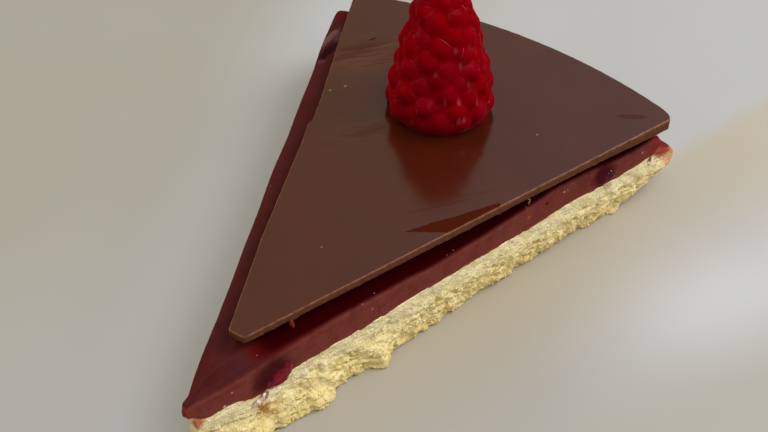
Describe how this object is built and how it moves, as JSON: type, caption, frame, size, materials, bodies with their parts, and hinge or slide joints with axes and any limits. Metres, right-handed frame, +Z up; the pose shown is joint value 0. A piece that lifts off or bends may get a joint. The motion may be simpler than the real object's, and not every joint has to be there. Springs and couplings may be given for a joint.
{
  "type": "raspberry chocolate tart slice",
  "caption": "Wedge of layered tart: crumbly pastry base, berry and chocolate filling, a thin chocolate plate laid on top, and a raspberry standing on the plate.",
  "frame": {"origin": "on the underside of the pastry, on the slice's middle line, half way from tip to rim", "axes": "+Z up, +Y from the slice's tip to its rim, +X to its right as seen from the tip"},
  "size_m": [0.0794, 0.1211, 0.0531],
  "materials": {
    "pastry": "dry, coarse baked crumb, pale yellow with a creamy band under the filling and a browned outer lip",
    "berry_cream": "smooth set cream, maroon, satin on top and duller on the cut faces",
    "milk_chocolate": "tempered chocolate, satin with glossier streaks",
    "berry_skin": "ripe raspberry skin, moist, with fine pale hairs",
    "cut_berry": "wet, dark red cut berry"
  },
  "bodies": {
    "root": {"pastry_base": "pastry", "filling": "berry_cream", "chocolate_plate": "milk_chocolate", "raspberry": "berry_skin", "berry_piece_tip": "cut_berry", "berry_piece_rim": "cut_berry"}
  },
  "joints": []
}
